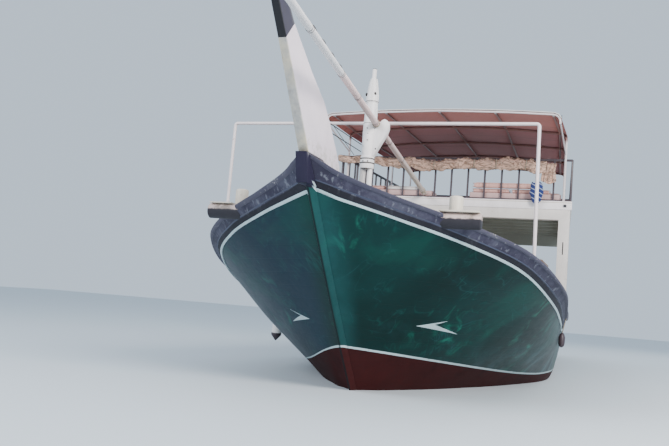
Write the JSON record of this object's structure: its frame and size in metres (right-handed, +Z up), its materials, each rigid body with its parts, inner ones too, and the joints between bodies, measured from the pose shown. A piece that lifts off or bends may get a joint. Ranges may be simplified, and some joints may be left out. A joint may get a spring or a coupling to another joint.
{
  "type": "dhow motor boat",
  "caption": "Wooden dhow-type passenger boat with a tall raked stemhead board, lowered spar on a short forked mast, awning-covered upper deck, open saloon and after wheelhouse.",
  "frame": {"origin": "on the centreline amidships at the waterline", "axes": "+X forward to the bow, +Y to port, +Z up"},
  "size_m": [24.8968, 6.4562, 7.91],
  "materials": {
    "green_paint": "gloss green paint on planks",
    "navy_paint": "worn matte navy paint",
    "red_paint": "matte red-brown bottom paint",
    "white_paint": "weathered white paint",
    "cream_paint": "cream paint on timber",
    "grey_timber": "weathered grey rail",
    "deck_timber": "worn planking",
    "varnished_timber": "varnish",
    "awning_cloth": "red-brown coated cloth",
    "curtain_cloth": "tan canvas",
    "cushion_cloth": "pale pink cloth",
    "dark_timber": "dark painted balusters",
    "white_pipe": "white painted steel pipe",
    "bronze": "cast bronze"
  },
  "bodies": {
    "boat": {"awning": "awning_cloth", "awning_frame": "white_pipe", "bitt_port": "cream_paint", "bitt_starboard": "cream_paint", "bulwark_port": "navy_paint", "bulwark_starboard": "navy_paint", "cap_rail_aft": "grey_timber", "cap_rail_fore_port": "grey_timber", "cap_rail_fore_starboard": "grey_timber", "cap_rail_port": "grey_timber", "cap_rail_starboard": "grey_timber", "crossbeam": "cream_paint", "curtain": "curtain_cloth", "deck": "deck_timber", "front_portal": "cream_paint", "gantry": "white_pipe", "hatch_coaming": "varnished_timber", "helm_pedestal": "varnished_timber", "hull": "green_paint", "keel": "red_paint", "ladder": "white_paint", "main_bench_port": "cream_paint", "main_bench_starboard": "cream_paint", "main_cushion_port": "cushion_cloth", "main_cushion_starboard": "cushion_cloth", "mast": "white_paint", "mast_arm": "white_paint", "rail_aft": "dark_timber", "rail_front": "dark_timber", "rail_port": "dark_timber", "rail_starboard": "dark_timber", "sheer_moulding_port": "white_paint", "sheer_moulding_starboard": "white_paint", "side_frame_port": "cream_paint", "side_frame_starboard": "cream_paint", "spar": "white_paint", "stem": "white_paint", "stemhead": "white_paint", "transom": "navy_paint", "upper_bench_port": "cream_paint", "upper_bench_starboard": "cream_paint", "upper_cushion_port": "cushion_cloth", "upper_cushion_starboard": "cushion_cloth", "upper_deck": "cream_paint", "upper_fascia": "white_paint", "wheelhouse_back": "white_paint", "wheelhouse_front": "white_paint", "wheelhouse_port": "white_paint", "wheelhouse_roof": "white_paint", "wheelhouse_starboard": "white_paint"},
    "rudder": {"rudder": "green_paint"},
    "propeller": {"propeller": "bronze"},
    "helm": {"helm_wheel": "varnished_timber"},
    "door_port": {"door_port": "varnished_timber"},
    "door_starboard": {"door_starboard": "varnished_timber"},
    "hatch_lid": {"hatch_lid": "varnished_timber"}
  },
  "joints": [
    {"name": "rudder_turn", "type": "hinge", "parent": "boat", "child": "rudder", "pos_m": [-9.9408, 0, 0], "axis": [-0.3387, 0, 0.9409], "range_deg": [-35, 35]},
    {"name": "propeller_turn", "type": "hinge", "parent": "boat", "child": "propeller", "pos_m": [-8.9, 0, -1.01], "axis": [1, 0, 0], "continuous": true},
    {"name": "helm_turn", "type": "hinge", "parent": "boat", "child": "helm", "pos_m": [-6.94, 0, 2.3], "axis": [1, 0, 0], "range_deg": [-701, 701]},
    {"name": "door_port_swing", "type": "hinge", "parent": "boat", "child": "door_port", "pos_m": [-7.793, 1.716, 2.3], "axis": [0, 0, 1], "range_deg": [0, 165]},
    {"name": "door_starboard_swing", "type": "hinge", "parent": "boat", "child": "door_starboard", "pos_m": [-7.793, -1.716, 2.3], "axis": [0, 0, -1], "range_deg": [0, 165]},
    {"name": "hatch_lid_swing", "type": "hinge", "parent": "boat", "child": "hatch_lid", "pos_m": [5.284, 0, 1.788], "axis": [0, -1, 0], "range_deg": [0, 100]}
  ],
  "couplings": [
    {"joint": "helm_turn", "follows": "rudder_turn", "ratio": 20}
  ]
}
